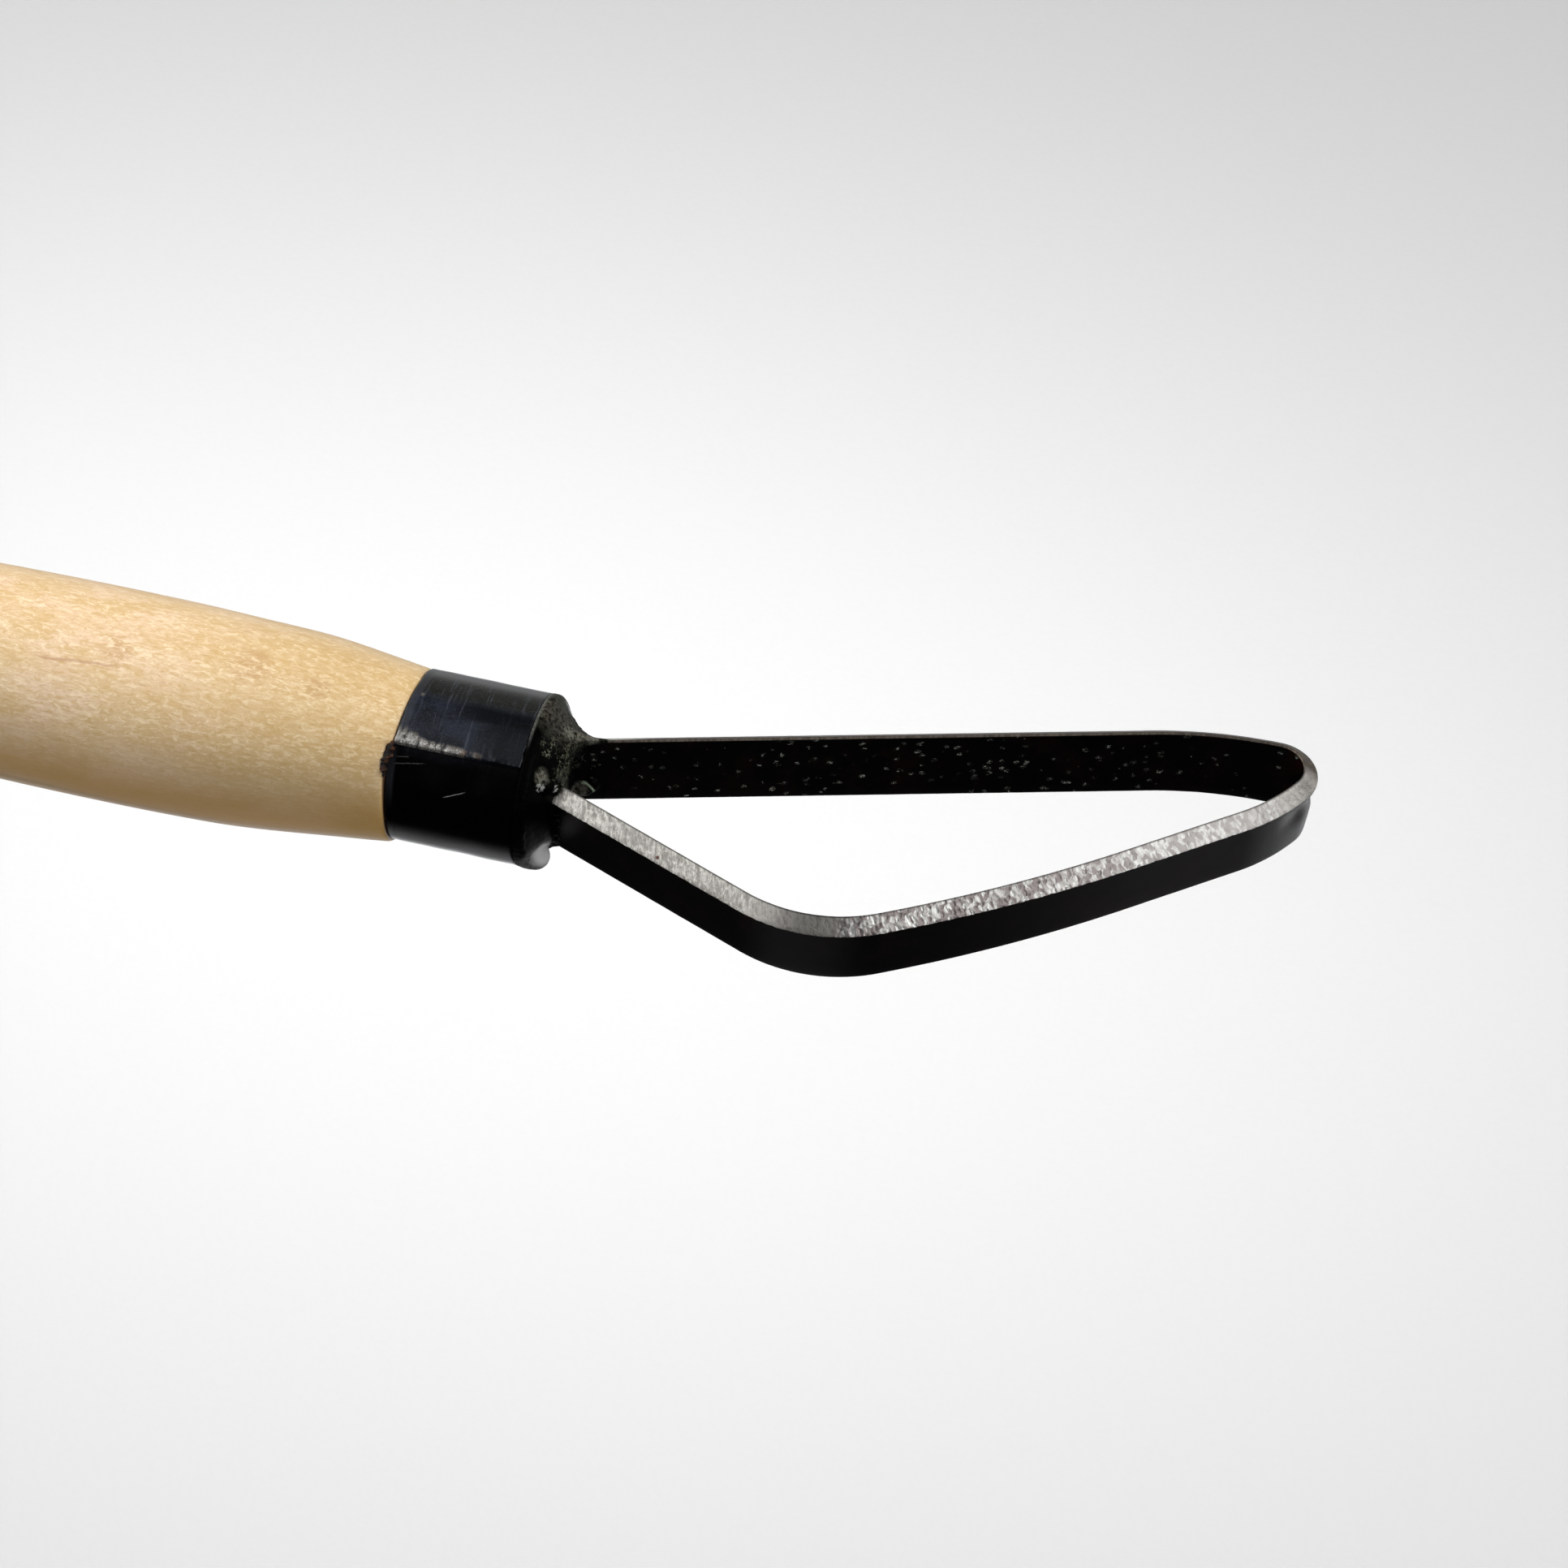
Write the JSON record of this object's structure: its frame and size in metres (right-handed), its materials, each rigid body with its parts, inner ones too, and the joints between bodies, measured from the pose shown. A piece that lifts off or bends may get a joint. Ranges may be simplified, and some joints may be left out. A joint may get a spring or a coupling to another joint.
{
  "type": "pottery ribbon tool",
  "caption": "Trimming tool for clay: a bevelled steel ribbon bent to a lopsided triangular loop, welded to a capped ferrule on a turned wooden handle.",
  "frame": {"origin": "centre of the flat on the handle's butt", "axes": "+X along the handle from the butt to the loop, +Y towards the tip side of the loop, +Z towards the ground cutting edge"},
  "size_m": [0.2163, 0.0348, 0.021],
  "materials": {
    "handle_wood": "turned light hardwood with a thin clear seal, fine grain along the handle",
    "ferrule_black": "blue-black lacquered sheet steel, half gloss, finely scratched",
    "cap_black": "black lacquered steel over a hand-finished cone",
    "ribbon_black": "black lacquered spring steel strip, its cutting edge ground bright",
    "weld_metal": "lumpy weld metal under thin black lacquer, dull grey-green where it shows",
    "tang_steel": "bare mild steel, hidden in the handle"
  },
  "bodies": {
    "root": {"handle": "handle_wood", "ferrule": "ferrule_black", "end_cap": "cap_black", "tang": "tang_steel", "ribbon_loop": "ribbon_black", "weld_cap_rim": "weld_metal", "weld_near_leg": "weld_metal", "weld_far_leg": "weld_metal"}
  },
  "joints": []
}
